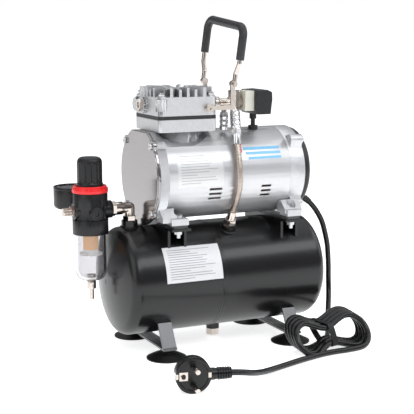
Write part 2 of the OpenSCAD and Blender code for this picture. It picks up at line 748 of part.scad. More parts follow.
module filter_bowl() color([0.85, 0.85, 0.9, 0.35]) translate([reg_x, 0, 0]) difference() {
    rotate_extrude() difference() {
        union() {
            translate([0, 93]) square([16.7, bowl_top - 93.3]);
            translate([0, 130]) square([15.8, 13]);
            translate([0, 84]) square([7.7, 13]);
            translate([7.7, 93]) circle(9);
        }
        translate([0, 94]) square([14.2, 50]);
        translate([0, 86.6]) square([6.8, 12]);
        translate([6.8, 94]) circle(7.4);
        translate([-20, 60]) square([20, 100]);
    }
    rod_z(80, 90, 3.1);
}

module filter_element() color([0.9, 0.55, 0.25]) translate([reg_x, 0, 0]) difference() {
    rod_z(118, 144, 8.3);
    rod_z(117, 145, 4);
}

module filter_baffle() color([0.95, 0.95, 0.95]) translate([reg_x, 0, 0]) difference() {
    union() {
        rod_z(112, 114, 12.4);
        rod_z(114, 118, 8);
        rod_z(118, 150, 2.4);
    }
    for (a = [0 : 60 : 300]) rotate(a) box(9.5, 14, -1, 1, 111, 115);
}

module bowl_drain() color([0.8, 0.78, 0.74]) translate([reg_x, 0, 0]) difference() {
    union() {
        rod_z(74, 83.7, 5);
        rod_z(83, 88, 3.04);
        rod_z(86.9, 88.9, 5);
        rod_z(62, 74, 2.6);
    }
    rod_z(60, 91, 1.2);
}

// ---------- mains cord and plug ----------
module cord_gland() color([0.06, 0.06, 0.06]) difference() {
    union() {
        rod_x(99.5, 104, 4.5, 0, 158);
        rod_x(104, 106.5, 7, 0, 158);
        rod_x(106.5, 111, 5, 0, 158);
    }
    rod_x(107, 120, cord_d / 2 + 0.05, 0, 158);
}
module cord_drop() color([0.08, 0.08, 0.08]) tube(drop_route, cord_d / 2);
module cord_lead() color([0.08, 0.08, 0.08]) tube(lead_route, cord_d / 2);
module stadium(r) union() {
    for (s = [-1, 1]) translate([s * hank_half, 0]) circle(r, $fn = 32);
    square([2 * hank_half, 2 * r], center = true);
}
// one loop of the hank, k turns in front of the middle one
module hank_loop(k) translate([hank_pos[0], hank_pos[1], hank_r * sin(hank_lean) + 3.3])
    rotate([0, 0, hank_turn]) translate([hank_slip * k, -hank_step * k, 0]) rotate([hank_lean, 0, 0])
    translate([0, 0, -2.2]) linear_extrude(4.4) stadium(hank_r + 2.2);
module cord_hank() color([0.08, 0.08, 0.08]) hull() {
    hank_loop(-1.5);
    hank_loop(2.3);
}

// plug frame: pins point to the front, the cord leaves to the side
module plug_frame() translate(plug_pos) rotate([0, 0, plug_turn]) children();
module plug_body() color([0.08, 0.08, 0.08]) plug_frame() difference() {
    union() {
        rod_y(0, 12, 18.5);
        rod_y(12, 17, 16.5);
        rod_y(17, 20, 12);
        rod_x(12, 26, 6.2, 8, -1.5);
        // ribbed sleeve over the cord
        for (k = [0 : 4]) rod_x(26 + 2.6 * k, 28.6 + 2.6 * k, (k % 2 == 0 ? 5.4 : 4.6) - 0.2 * k, 8, -1.5);
    }
    for (z = [-9.5, 9.5]) rod_y(-1, 10, 2.2, 0, z);
    rod_y(-1, 10, 2.6, -10.5, 0);
}
module plug_pins() color(steel) plug_frame() for (z = [-9.5, 9.5]) {
    rod_y(-19, 0, 2.4, 0, z);
    rod_y(0, 9, 2.15, 0, z);
}

// which node to draw

at_x() tank_shell_left();
at_x() tank_shell_right();
at_x() drain_plug();
at_x() foot_bars();
at_x() suction_cups();
at_x() cup_screws();
at_x() motor_saddles();
at_x() motor_pads();
at_x() motor_bolts();
at_x() crankcase();
at_x() end_plate();
at_x() end_plate_screws();
at_x() motor_housing();
at_x() stator_core();
at_x() stator_windings();
at_x() rear_bell();
at_x() fan_cover();
at_x() motor_bearings();
at_x() rotor();
at_x() crank();
at_x() cooling_fan();
at_x() piston_rod();
at_x() piston_seal();
at_x() cylinder_block();
at_x() cylinder_sleeve();
at_x() valve_plate();
at_x() head_gasket();
at_x() cylinder_head();
at_x() head_bolts();
at_x() intake_plug();
at_x() manifold();
at_x() hose_fittings();
at_x() air_hose();
at_x() switch_block();
at_x() switch_cover();
at_x() switch_button();
at_x() switch_cable();
at_x() handle_straps();
at_x() handle_bail();
at_x() handle_grip();
at_x() inlet_elbow();
at_x() regulator_body();
at_x() regulator_ring();
at_x() regulator_knob();
at_x() spring_seat();
at_x() regulator_nipple();
at_x() gauge_case();
at_x() gauge_dial();
at_x() gauge_needle();
at_x() gauge_lens();
at_x() filter_bowl();
at_x() filter_element();
at_x() filter_baffle();
at_x() bowl_drain();
at_x() cord_gland();
at_x() cord_drop();
at_x() cord_hank();
at_x() cord_lead();
at_x() plug_body();
at_x() plug_pins();
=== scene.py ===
"""Looks of the airbrush compressor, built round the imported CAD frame. Lengths are in millimetres
in the drawing's own frame; at() turns them into metres in the shared frame."""
import json
import math

import bpy
from mathutils import Matrix, Vector


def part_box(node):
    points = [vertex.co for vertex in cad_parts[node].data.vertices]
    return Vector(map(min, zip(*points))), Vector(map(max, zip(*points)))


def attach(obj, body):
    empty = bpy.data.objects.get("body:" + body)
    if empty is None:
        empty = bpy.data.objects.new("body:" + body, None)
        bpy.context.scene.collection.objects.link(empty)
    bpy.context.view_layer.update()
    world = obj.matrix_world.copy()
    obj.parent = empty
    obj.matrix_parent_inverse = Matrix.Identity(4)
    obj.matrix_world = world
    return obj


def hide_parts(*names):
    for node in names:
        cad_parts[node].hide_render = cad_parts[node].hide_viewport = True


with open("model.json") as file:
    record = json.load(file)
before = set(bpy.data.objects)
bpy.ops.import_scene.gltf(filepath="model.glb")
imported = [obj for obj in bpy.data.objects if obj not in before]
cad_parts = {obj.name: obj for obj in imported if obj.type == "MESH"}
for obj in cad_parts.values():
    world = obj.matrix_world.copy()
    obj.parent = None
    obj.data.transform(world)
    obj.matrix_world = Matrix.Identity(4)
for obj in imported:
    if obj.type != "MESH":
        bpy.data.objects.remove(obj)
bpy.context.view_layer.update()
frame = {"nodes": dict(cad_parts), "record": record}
NODES = frame["nodes"]
MM = 0.001
# the drawing's X = 0 in the shared frame: the motor's sleeve starts this far to the left of it
SLEEVE_LEFT = 74.0
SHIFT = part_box("motor_housing")[0][0] + SLEEVE_LEFT * MM
# tank: radius, height of its axis, place of the round seam
TANK_R = 60.0
TANK_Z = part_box("tank_shell_left")[0][2] / MM + TANK_R
SEAM_X = -11.0
# motor: height of its axis, radius of its sleeve
MOTOR_Z = 194.0
SLEEVE_R = 49.0
# regulator: its upright axis and the height of its ports
REG_X = -144.5
PORT_Z = 160.0
# pressure gauge: its upright axis and the height of its dial
GAUGE = (REG_X - 4.5, 44.0)
DIAL_Z = 172.5


def at(x, y, z):
    """A point of the drawing, in the shared frame."""
    return Vector((x * MM + SHIFT, y * MM, z * MM))


# ---------- camera ----------
SENSOR, LENS = 36.0, 97.05
CAMERA_PLACE, CAMERA_TARGET = at(-540.0, -1126.5, 360.45), at(-5.11, 0, 153.78)


def aim(obj, place, target):
    obj.location = place
    obj.rotation_euler = (target - place).to_track_quat("-Z", "Y").to_euler()


camera = bpy.data.objects.new("camera", bpy.data.cameras.new("camera"))
bpy.context.scene.collection.objects.link(camera)
camera.data.sensor_width = SENSOR
camera.data.lens = LENS
camera.data.clip_start = 0.01
aim(camera, CAMERA_PLACE, CAMERA_TARGET)
bpy.context.scene.camera = camera

# ---------- materials ----------
def node(tree, kind, **inputs):
    """A shader node with its inputs set by name."""
    made = tree.nodes.new("ShaderNode" + kind)
    for key, value in inputs.items():
        made.inputs[key.replace("_", " ")].default_value = value
    return made


def ramp(tree, source, low, high, start=0.3, end=0.7):
    """Two colours blended by a value."""
    made = tree.nodes.new("ShaderNodeValToRGB")
    made.color_ramp.elements[0].position = start
    made.color_ramp.elements[1].position = end
    made.color_ramp.elements[0].color = (*low, 1)
    made.color_ramp.elements[1].color = (*high, 1)
    tree.links.new(source, made.inputs["Fac"])
    return made.outputs["Color"]


def spread(tree, source, low, high):
    """A value of 0 to 1 mapped to a range."""
    made = node(tree, "MapRange")
    made.inputs["To Min"].default_value = low
    made.inputs["To Max"].default_value = high
    tree.links.new(source, made.inputs["Value"])
    return made.outputs["Result"]


def blank(name, metallic, coat=0.0, specular=0.5):
    """A material with its fixed shader values set."""
    made = bpy.data.materials.new(name)
    made.use_nodes = True
    shader = made.node_tree.nodes["Principled BSDF"]
    shader.inputs["Metallic"].default_value = metallic
    shader.inputs["Coat Weight"].default_value = coat
    shader.inputs["Coat Roughness"].default_value = 0.08
    shader.inputs["Specular IOR Level"].default_value = specular
    return made, made.node_tree, shader


def surface(name, light, dark, metallic=0.0, rough=(0.3, 0.45), grain=120.0, stretch=(1, 1, 1),
            bump=0.15, bump_size=900.0, coat=0.0, specular=0.5, specks=0.0, painted_glow=0.0):
    """A metal, paint, rubber or plastic: cloudy colour and gloss from one noise, grain from another, and
    painted light as emission in its own colour.
    """
    made, tree, shader = blank(name, metallic, coat, specular)
    place = node(tree, "TexCoord")
    scaled = node(tree, "Mapping", Scale=stretch)
    cloud = node(tree, "TexNoise", Scale=grain, Detail=5.0, Roughness=0.6)
    fine = node(tree, "TexNoise", Scale=bump_size, Detail=3.0)
    tree.links.new(place.outputs["Object"], scaled.inputs["Vector"])
    for texture in (cloud, fine):
        tree.links.new(scaled.outputs["Vector"], texture.inputs["Vector"])
    colour = ramp(tree, cloud.outputs["Fac"], dark, light)
    if specks:
        dots = node(tree, "TexVoronoi", Scale=bump_size)
        tree.links.new(place.outputs["Object"], dots.inputs["Vector"])
        mask = ramp(tree, dots.outputs["Distance"], (specks,) * 3, (0, 0, 0), 0.0, 0.25)
        mixed = tree.nodes.new("ShaderNodeMix")
        mixed.data_type = "RGBA"
        mixed.inputs["B"].default_value = (*[c * 0.45 for c in light], 1)
        tree.links.new(mask, mixed.inputs["Factor"])
        tree.links.new(colour, mixed.inputs["A"])
        colour = mixed.outputs["Result"]
    tree.links.new(colour, shader.inputs["Base Color"])
    # the last argument sets emission in the surface's own colour: painted light, making a part that is no
    # lamp glow
    tree.links.new(colour, shader.inputs["Emission Color"])
    shader.inputs["Emission Strength"].default_value = painted_glow
    tree.links.new(spread(tree, cloud.outputs["Fac"], *rough), shader.inputs["Roughness"])
    relief = node(tree, "Bump", Strength=bump, Distance=0.0004)
    tree.links.new(fine.outputs["Fac"], relief.inputs["Height"])
    tree.links.new(relief.outputs["Normal"], shader.inputs["Normal"])
    return made


def clear(name, tint, rough):
    """Clear plastic with faint moulding streaks and handling haze."""
    made, tree, shader = blank(name, 0.0)
    shader.inputs["Transmission Weight"].default_value = 1.0
    shader.inputs["IOR"].default_value = 1.45
    place = node(tree, "TexCoord")
    streaks = node(tree, "TexNoise", Scale=60.0, Detail=4.0)
    tree.links.new(place.outputs["Object"], streaks.inputs["Vector"])
    colour = ramp(tree, streaks.outputs["Fac"], [c * 0.94 for c in tint], tint)
    tree.links.new(colour, shader.inputs["Base Color"])
    tree.links.new(spread(tree, streaks.outputs["Fac"], rough, rough + 0.08), shader.inputs["Roughness"])
    return made


def banded(name, light, dark, scale, metallic, rough, direction="X"):
    """Wound wire or laminations: fine parallel bands with relief."""
    made, tree, shader = blank(name, metallic)
    place = node(tree, "TexCoord")
    bands = node(tree, "TexWave", Scale=scale, Distortion=1.5, Detail=2.0)
    bands.bands_direction = direction
    tree.links.new(place.outputs["Object"], bands.inputs["Vector"])
    colour = ramp(tree, bands.outputs["Fac"], dark, light, 0.2, 0.8)
    tree.links.new(colour, shader.inputs["Base Color"])
    tree.links.new(spread(tree, bands.outputs["Fac"], *rough), shader.inputs["Roughness"])
    relief = node(tree, "Bump", Strength=0.6, Distance=0.0004)
    tree.links.new(bands.outputs["Fac"], relief.inputs["Height"])
    tree.links.new(relief.outputs["Normal"], shader.inputs["Normal"])
    return made


def printed(name, paper, ink, rows, strength, rough=(0.3, 0.4), metallic=0.0):
    """A label ruled with plain grey bars of uneven length in place of any text."""
    made, tree, shader = blank(name, metallic)
    place = node(tree, "TexCoord")
    split = node(tree, "SeparateXYZ")
    tree.links.new(place.outputs["UV"], split.inputs["Vector"])

    def maths(kind, first, second):
        step = tree.nodes.new("ShaderNodeMath")
        step.operation = kind
        for slot, value in zip(step.inputs, (first, second)):
            if isinstance(value, (int, float)):
                slot.default_value = value
            else:
                tree.links.new(value, slot)
        return step.outputs[0]

    scaled = maths("MULTIPLY", split.outputs["Y"], rows)
    row = maths("FLOOR", scaled, 0)
    within = maths("FRACT", scaled, 0)
    thick = maths("MULTIPLY", maths("GREATER_THAN", within, 0.36), maths("LESS_THAN", within, 0.62))
    chance = node(tree, "TexWhiteNoise")
    chance.noise_dimensions = "1D"
    tree.links.new(row, chance.inputs["W"])
    end = maths("ADD", maths("MULTIPLY", chance.outputs["Value"], 0.5), 0.42)
    across, up = split.outputs["X"], split.outputs["Y"]
    inside = maths("MULTIPLY", maths("LESS_THAN", across, end), maths("GREATER_THAN", across, 0.07))
    edge = maths("MULTIPLY", maths("GREATER_THAN", up, 0.06), maths("LESS_THAN", up, 0.94))
    bars = maths("MULTIPLY", maths("MULTIPLY", thick, inside), maths("MULTIPLY", edge, strength))
    mixed = tree.nodes.new("ShaderNodeMix")
    mixed.data_type = "RGBA"
    mixed.inputs["B"].default_value = (*ink, 1)
    cloud = node(tree, "TexNoise", Scale=90.0, Detail=3.0)
    tree.links.new(place.outputs["Object"], cloud.inputs["Vector"])
    background = ramp(tree, cloud.outputs["Fac"], [c * 0.95 for c in paper], paper)
    tree.links.new(background, mixed.inputs["A"])
    tree.links.new(bars, mixed.inputs["Factor"])
    tree.links.new(mixed.outputs["Result"], shader.inputs["Base Color"])
    tree.links.new(spread(tree, cloud.outputs["Fac"], *rough), shader.inputs["Roughness"])
    return made


COAL = (0.006, 0.006, 0.0065)
looks = {
    "tank_black": surface("tank_black", (0.0055, 0.0055, 0.006), (0.0045, 0.0045, 0.005),
                          rough=(0.24, 0.28), grain=14, bump=0.015, bump_size=160, coat=0.08,
                          specular=0.42),
    "zinc": surface("zinc", (0.66, 0.66, 0.66), (0.5, 0.5, 0.5), 1.0, (0.22, 0.36), grain=300, bump=0.1),
    "cup_rubber": surface("cup_rubber", COAL, (0.004, 0.004, 0.0045), rough=(0.34, 0.5), grain=90, bump=0.2,
                          specular=0.36),
    "pad_rubber": surface("pad_rubber", (0.10, 0.10, 0.10), (0.07, 0.07, 0.07), rough=(0.6, 0.75),
                          bump=0.3),
    "cast_alu": surface("cast_alu", (0.61, 0.613, 0.622), (0.55, 0.553, 0.562), 0.85, (0.36, 0.46),
                        grain=240, bump=0.22, bump_size=2000, specks=0.2),
    "plate_alu": surface("plate_alu", (0.33, 0.31, 0.31), (0.30, 0.285, 0.285), 0.95, (0.13, 0.17),
                         grain=40, stretch=(1, 1, 14), bump=0.015, bump_size=1200),
    "bar_enamel": surface("bar_enamel", (0.055, 0.055, 0.058), (0.04, 0.04, 0.043), rough=(0.18, 0.26),
                          grain=60, bump=0.03, coat=0.4, specular=0.8),
    "silver_paint": surface("silver_paint", (0.60, 0.603, 0.612), (0.565, 0.568, 0.577), 0.7, (0.32, 0.38),
                            grain=700, bump=0.05, bump_size=2500, coat=0.15),
    "core_steel": banded("core_steel", (0.34, 0.34, 0.36), (0.16, 0.16, 0.17), 420, 0.9, (0.4, 0.6)),
    "copper": banded("copper", (0.78, 0.34, 0.14), (0.35, 0.12, 0.05), 260, 0.8, (0.3, 0.5), "DIAGONAL"),
    "cover_plastic": surface("cover_plastic", (0.014, 0.014, 0.015), (0.009, 0.009, 0.010),
                             rough=(0.34, 0.46), grain=200, specular=0.4, bump=0.25, bump_size=1800),
    "chrome": surface("chrome", (0.72, 0.72, 0.73), (0.62, 0.62, 0.63), 1.0, (0.08, 0.14), grain=80,
                      bump=0.03),
    "machined_steel": surface("machined_steel", (0.62, 0.62, 0.63), (0.52, 0.52, 0.53), 1.0, (0.18, 0.3),
                              grain=80, stretch=(12, 1, 1), bump=0.08),
    "ptfe": surface("ptfe", (0.8, 0.78, 0.7), (0.7, 0.68, 0.6), rough=(0.4, 0.5)),
    "gasket": surface("gasket", (0.016, 0.016, 0.017), (0.008, 0.008, 0.008), rough=(0.4, 0.6), bump=0.3),
    "nickel": surface("nickel", (0.62, 0.565, 0.515), (0.52, 0.465, 0.42), 1.0, (0.11, 0.18), grain=220,
                      bump=0.06),
    "braid": surface("braid", (0.58, 0.50, 0.44), (0.40, 0.335, 0.29), 1.0, (0.18, 0.28), grain=900,
                     bump=0.1, bump_size=2500),
    "beige_plastic": surface("beige_plastic", (0.66, 0.65, 0.57), (0.58, 0.57, 0.49), rough=(0.4, 0.52),
                             bump=0.12),
    "reg_black": surface("reg_black", (0.010, 0.010, 0.011), (0.006, 0.006, 0.0065), rough=(0.25, 0.36),
                         grain=160, bump=0.2, specular=0.36, bump_size=1600),
    "ring_red": surface("ring_red", (0.86, 0.018, 0.02), (0.72, 0.012, 0.014), rough=(0.22, 0.32),
                        grain=150, bump=0.06),
    "dial_white": surface("dial_white", (0.95, 0.95, 0.93), (0.91, 0.91, 0.89), rough=(0.4, 0.5),
                          bump=0.02),
    "lens_clear": clear("lens_clear", (0.97, 0.98, 0.98), 0.01),
    "bowl_clear": clear("bowl_clear", (0.74, 0.735, 0.75), 0.03),
    # the filter and the baffle glow with painted light (emission), making up for the shade they get inside
    # the clear bowl
    "filter_orange": surface("filter_orange", (0.97, 0.60, 0.32), (0.90, 0.50, 0.24), rough=(0.7, 0.85),
                             grain=900, bump=0.6, bump_size=2200, painted_glow=0.35),
    "white_plastic": surface("white_plastic", (0.86, 0.86, 0.85), (0.8, 0.8, 0.79), rough=(0.35, 0.45),
                             bump=0.06, painted_glow=0.25),
    "grip_rubber": surface("grip_rubber", (0.02, 0.02, 0.021), (0.011, 0.011, 0.012), rough=(0.4, 0.55),
                           grain=140, stretch=(1, 1, 3), bump=0.4, bump_size=500),
    "cord_pvc": surface("cord_pvc", (0.007, 0.007, 0.0075), (0.0045, 0.0045, 0.005), rough=(0.22, 0.3),
                        grain=150, bump=0.1, specular=0.36),
}
label_white = printed("label_white", (0.72, 0.72, 0.73), (0.12, 0.12, 0.13), 15, 0.75)
label_silver = printed("label_silver", (0.68, 0.68, 0.68), (0.2, 0.2, 0.21), 13, 0.6,
                       (0.3, 0.38), 0.35)
stripe_blue = surface("stripe_blue", (0.20, 0.50, 0.76), (0.16, 0.45, 0.71), rough=(0.25, 0.35), bump=0.02)
stripe_red = surface("stripe_red", (0.8, 0.05, 0.07), (0.7, 0.04, 0.05), rough=(0.25, 0.35), bump=0.02)
ink_black = surface("ink_black", (0.02, 0.02, 0.02), (0.015, 0.015, 0.015), rough=(0.45, 0.55), bump=0.02)
shadow_black = surface("shadow_black", (0.008, 0.008, 0.008), (0.004, 0.004, 0.004),
                       rough=(0.7, 0.8), bump=0.1)

# ---------- building pieces ----------
def finish_piece(obj, look, body="base", replaced=()):
    obj.data.materials.append(look)
    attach(obj, body)
    if replaced:
        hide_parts(*replaced)
    return obj


def mesh_piece(name, verts, faces, look, slot, body="base", smooth=35.0, bevel=0.0, uvs=None,
               replaced=()):
    """verts are in metres; smooth is the angle below which faces blend, in degrees."""
    mesh = bpy.data.meshes.new(name)
    mesh.from_pydata([tuple(v) for v in verts], [], faces)
    mesh.update()
    obj = bpy.data.objects.new(name, mesh)
    bpy.context.scene.collection.objects.link(obj)
    if uvs:
        layer = mesh.uv_layers.new(name="UVMap")
        for loop in mesh.loops:
            layer.data[loop.index].uv = uvs[loop.vertex_index]
    if smooth:
        for polygon in mesh.polygons:
            polygon.use_smooth = True
        mesh.set_sharp_from_angle(angle=math.radians(smooth))
    if bevel:
        cut = obj.modifiers.new("edges", "BEVEL")
        cut.width = bevel * MM
        cut.segments = 2
        cut.limit_method = "ANGLE"
        cut.angle_limit = math.radians(35)
        cut.harden_normals = True
    return finish_piece(obj, look, body, replaced)


def basis(axis):
    axis = Vector(axis).normalized()
    side = axis.cross(Vector((0.15, 1, 0.3))).normalized()
    return axis, side, axis.cross(side)


def lathe(profile, centre, axis, segments=64, wave=None):
    """Turns (radius, height) pairs, in mm, round an axis. wave changes the radius with angle and height."""
    axis, side, third = basis(axis)
    verts = []
    for radius, height in profile:
        for k in range(segments):
            a = 2 * math.pi * k / segments
            r = radius + (wave(a, height, radius) if wave else 0)
            verts.append(centre + (side * math.cos(a) + third * math.sin(a)) * r * MM + axis * height * MM)
    faces = []
    for i in range(len(profile) - 1):
        for k in range(segments):
            a, b = i * segments + k, i * segments + (k + 1) % segments
            faces.append((a, b, b + segments, a + segments))
    if profile[0][0] > 0.01:
        faces.append(tuple(range(segments - 1, -1, -1)))
    last = (len(profile) - 1) * segments
    if profile[-1][0] > 0.01:
        faces.append(tuple(range(last, last + segments)))
    return verts, faces


def join(*parts):
    verts, faces = [], []
    for more_verts, more_faces in parts:
        start = len(verts)
        verts += more_verts
        faces += [tuple(start + i for i in f) for f in more_faces]
    return verts, faces


def frames(points):
    """Parallel-transport frames along a line of points."""
    out, side = [], None
    for i, p in enumerate(points):
        t = (points[min(i + 1, len(points) - 1)] - points[max(i - 1, 0)]).normalized()
        side = basis(t)[1] if side is None else (side - t * side.dot(t)).normalized()
        out.append((p, t, side, t.cross(side)))
    return out


def tube(points, radius, segments=16, closed=False):
    verts, faces = [], []
    rings = frames(points)
    for i, (p, _, side, third) in enumerate(rings):
        r = radius(i / (len(rings) - 1)) if callable(radius) else radius
        for k in range(segments):
            a = 2 * math.pi * k / segments
            verts.append(p + (side * math.cos(a) + third * math.sin(a)) * r * MM)
    count = len(rings)
    for i in range(count if closed else count - 1):
        for k in range(segments):
            a, b = i * segments + k, i * segments + (k + 1) % segments
            c, d = (a + segments) % (count * segments), (b + segments) % (count * segments)
            faces.append((a, b, d, c))
    if not closed:
        faces.append(tuple(range(segments - 1, -1, -1)))
        faces.append(tuple(range((count - 1) * segments, count * segments)))
    return verts, faces


def smooth_line(points, steps):
    """Catmull-Rom points through a list of points."""
    out = []
    for i in range(len(points) - 1):
        a, b, c, d = (points[max(0, min(len(points) - 1, i + k))] for k in (-1, 0, 1, 2))
        for s in range(steps):
            t = s / steps
            square, cube = 2 * a - 5 * b + 4 * c - d, 3 * b - a - 3 * c + d
            out.append(0.5 * ((2 * b) + (c - a) * t + square * t * t + cube * t ** 3))
    return out + [points[-1]]


def box(x0, x1, y0, y1, z0, z1, place):
    """place turns each corner into a point of the shared frame."""
    verts = [place((x, y, z)) for x in (x0, x1) for y in (y0, y1) for z in (z0, z1)]
    return verts, [(0, 1, 3, 2), (4, 6, 7, 5), (0, 4, 5, 1), (2, 3, 7, 6), (0, 2, 6, 4), (1, 5, 7, 3)]


# ---------- mains cord ----------
CORD_R = 3.2
DROP = [(107, 0, 158), (112, 0, 158), (117, 0, 157.4), (122, 0, 155.6), (127.6, 0, 151.6),
        (132.4, 0, 146.8), (137, 0, 141.5), (141.8, 0, 134.6), (145.9, 0, 127.3), (149, 0, 119.5),
        (153.7, 0, 102), (155.3, 0, 92.5), (156.9, 0, 71), (157.2, 0, 57.5), (156.2, -2.5, 44),
        (153, -8, 33), (147.5, -16.5, 23.5), (141, -27, 15), (134.5, -38, 9), (127.5, -49, 5.2),
        (120, -60, 3.6), (111.5, -70, 3.3), (101.5, -78.5, 3.3), (90, -85.5, 3.3)]
LEAD = [(112, -117.5, 3.3), (99, -117.5, 3.3), (86, -118.5, 3.3), (73, -121, 3.3), (60, -124.5, 3.3),
        (47, -128.5, 3.4), (34, -133, 3.5), (21, -137.5, 3.5), (8, -142.5, 3.7), (-4, -148, 4.4),
        (-15, -154.5, 6), (-26, -161.5, 8.6), (-37, -168, 12), (-49, -171.8, 15.2), (-61.2, -172.3, 17)]
# height of the cord's middle where it lies on the floor
CORD_LIE = 3.3
# hank: its middle on the floor, its turns, which way it lies and how far it leans up
HANK_AT = (101.5, -88.0)
HANK_TURNS = 4
HANK_TURN, HANK_LEAN = math.radians(13), math.radians(53)
# half the straight run, the radius of the end bends, and each turn's step to the front and to the left
HANK_HALF, HANK_R, HANK_STEP, HANK_SLIP = 32.0, 19.4, 8.2, -3.2
# where the tie pulls the runs together, and by how much
WAIST, HANK_PINCH = -8.0, 0.5
# where the winding starts, in steps to the front of the hank's middle
FIRST_TURN = -1.5


def hank_point(u, w, k):
    """u along the hank, w across it in the leaning plane, k turns towards the front."""
    along = (math.cos(HANK_TURN), math.sin(HANK_TURN))
    back = (-along[1], along[0])
    if abs(u) < HANK_HALF:
        reach = HANK_HALF + WAIST if u < WAIST else HANK_HALF - WAIST
        w *= 1 - HANK_PINCH * math.cos(math.pi * (u - WAIST) / 2 / reach) ** 2
    a, b = u + HANK_SLIP * k, w * math.cos(HANK_LEAN) - HANK_STEP * k
    z = HANK_R * math.sin(HANK_LEAN) + CORD_LIE + w * math.sin(HANK_LEAN)
    x = HANK_AT[0] + along[0] * a + back[0] * b
    y = HANK_AT[1] + along[1] * a + back[1] * b
    return (x, y, max(z, CORD_LIE))


def hank_line(per_turn):
    """From the left end of the first bottom run to the right end of the last one."""
    run, bend = 2 * HANK_HALF, math.pi * HANK_R
    around = 2 * run + 2 * bend
    first, last = run, HANK_TURNS * around
    count = round(per_turn * (last - first) / around)
    out = []
    for i in range(count + 1):
        s = first + (last - first) * i / count
        k = FIRST_TURN + HANK_TURNS * i / count
        s %= around
        if s < run:
            u, w = HANK_HALF - s, -HANK_R
        elif s < run + bend:
            a = (s - run) / HANK_R
            u, w = -HANK_HALF - HANK_R * math.sin(a), -HANK_R * math.cos(a)
        elif s < 2 * run + bend:
            u, w = -HANK_HALF + (s - run - bend), HANK_R
        else:
            a = (s - 2 * run - bend) / HANK_R
            u, w = HANK_HALF + HANK_R * math.sin(a), HANK_R * math.cos(a)
        if i == count:
            u, w = HANK_HALF, -HANK_R
        out.append(hank_point(u, w, k))
    return out


def bezier(name, points, radius):
    """A round curve through the points, with tangents along their neighbours."""
    curve = bpy.data.curves.new(name, "CURVE")
    curve.dimensions = "3D"
    curve.resolution_u = 6
    curve.bevel_depth = radius * MM
    curve.bevel_resolution = 4
    curve.use_fill_caps = True
    spline = curve.splines.new("BEZIER")
    spline.bezier_points.add(len(points) - 1)
    for i, knot in enumerate(spline.bezier_points):
        before, here, after = points[max(i - 1, 0)], points[i], points[min(i + 1, len(points) - 1)]
        direction = (after - before).normalized()
        knot.handle_left_type = knot.handle_right_type = "FREE"
        knot.co = here
        knot.handle_left = here - direction * (here - before).length / 3
        knot.handle_right = here + direction * (after - here).length / 3
    obj = bpy.data.objects.new(name, curve)
    bpy.context.scene.collection.objects.link(obj)
    return obj


POINTS_PER_TURN = 20
cord_points = [at(*p) for p in DROP + hank_line(POINTS_PER_TURN) + LEAD]
mains_cord = bezier("mains_cord", cord_points, CORD_R)
finish_piece(mains_cord, looks["cord_pvc"], replaced=("cord_drop", "cord_hank", "cord_lead"))

# the strain relief follows the cord's first stretch, from just inside the gland
RELIEF_RADII, RELIEF_GROOVES, GROOVE_DEPTH = (5.3, 3.7), 9, 0.45
relief_line = smooth_line([at(*p) for p in DROP[:6]], 8)[2:34]


def relief_radius(t):
    """Tapers from the gland end, with grooves all along but at the two ends."""
    groove = GROOVE_DEPTH if 0.12 < t < 0.92 and (t * RELIEF_GROOVES) % 1 < 0.45 else 0.0
    start, end = RELIEF_RADII
    return start - (start - end) * t - groove


relief_shape = tube(relief_line, relief_radius, 24)
strain_relief = mesh_piece("strain_relief", *relief_shape, looks["cord_pvc"], "cord_pvc")

TIE_HALF_WIDTH, TIE_THICK, TIE_SIDES = 4, 1, 72


def cord_tie():
    """A flat strap round all the runs at the hank's waist."""
    along = Vector((math.cos(HANK_TURN), math.sin(HANK_TURN), 0))
    back = Vector((-along.y, along.x, 0))
    middle = at(HANK_AT[0], HANK_AT[1], 0) + along * WAIST * MM
    dense = smooth_line([at(*p) for p in hank_line(40)], 4)
    cuts = []
    for a, b in zip(dense, dense[1:]):
        low, high = (a - middle).dot(along), (b - middle).dot(along)
        if low * high <= 0 and low != high:
            p = a.lerp(b, low / (low - high))
            cuts.append(((p - middle).dot(back), p.z))
    outline = []
    centre = (sum(c[0] for c in cuts) / len(cuts), sum(c[1] for c in cuts) / len(cuts))
    for i in range(TIE_SIDES):
        a = math.radians(360 / TIE_SIDES * i)
        d = (math.cos(a), math.sin(a))
        reach = max((c[0] - centre[0]) * d[0] + (c[1] - centre[1]) * d[1] for c in cuts)
        outline.append((reach + (CORD_R + 0.15) * MM, d))
    # corner points of the support polygon give the tight loop
    loop = []
    for i in range(TIE_SIDES):
        r0, d0 = outline[i]
        r1, d1 = outline[(i + 1) % TIE_SIDES]
        det = d0[0] * d1[1] - d0[1] * d1[0]
        corner = ((r0 * d1[1] - r1 * d0[1]) / det, (r1 * d0[0] - r0 * d1[0]) / det)
        loop.append((corner[0] + centre[0], corner[1] + centre[1]))
    verts, faces = [], []
    for b, z in loop:
        out = Vector((b - centre[0], z - centre[1])).normalized() * TIE_THICK * MM
        half = TIE_HALF_WIDTH
        for width, thick in ((-half, 0), (half, 0), (half, 1), (-half, 1)):
            p = middle + along * width * MM + back * (b + out.x * thick)
            verts.append(Vector((p.x, p.y, max(z + out.y * thick, 0.0001))))
    count = len(loop)
    for i in range(count):
        for k in range(4):
            a, b = i * 4 + k, i * 4 + (k + 1) % 4
            faces.append((a, b, (b + 4) % (count * 4), (a + 4) % (count * 4)))
    return verts, faces


cord_tie_piece = mesh_piece("cord_tie", *cord_tie(), looks["cup_rubber"], "cord_pvc")

# ---------- plug ----------
PLUG_R = 18.5
PIN_Z = 9.5
PLUG = at(-101, -172, PLUG_R)
PLUG_TURN = Matrix.Rotation(math.radians(-12), 3, "Z")


def plug_at(v):
    return PLUG + PLUG_TURN @ (Vector(v) * MM)


